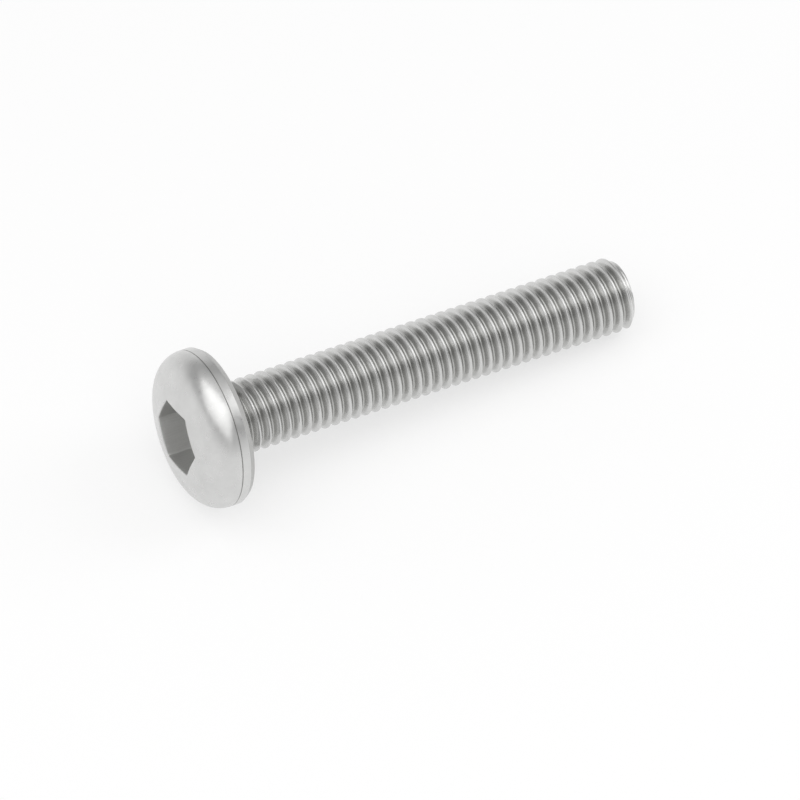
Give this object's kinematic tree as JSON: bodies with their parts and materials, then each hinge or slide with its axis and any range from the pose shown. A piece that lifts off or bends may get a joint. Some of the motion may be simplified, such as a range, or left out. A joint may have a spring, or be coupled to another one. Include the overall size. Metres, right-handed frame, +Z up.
{
  "type": "button head screw",
  "caption": "Button head screw with a wide domed head, a hexagon socket, a short neck, a threaded shank and a chamfered point.",
  "frame": {"origin": "centre of the bearing face under the head, on the screw's axis", "axes": "+Z up with the screw lying as it rests, on its rim and on the end of its thread; the shank points along +X and dips 5.57 degrees below it"},
  "size_m": [0.0669, 0.0216, 0.0217],
  "materials": {
    "stainless_steel": "cold-formed stainless steel, tumbled to an even satin"
  },
  "bodies": {
    "root": {"button_head_screw": "stainless_steel"}
  },
  "joints": []
}
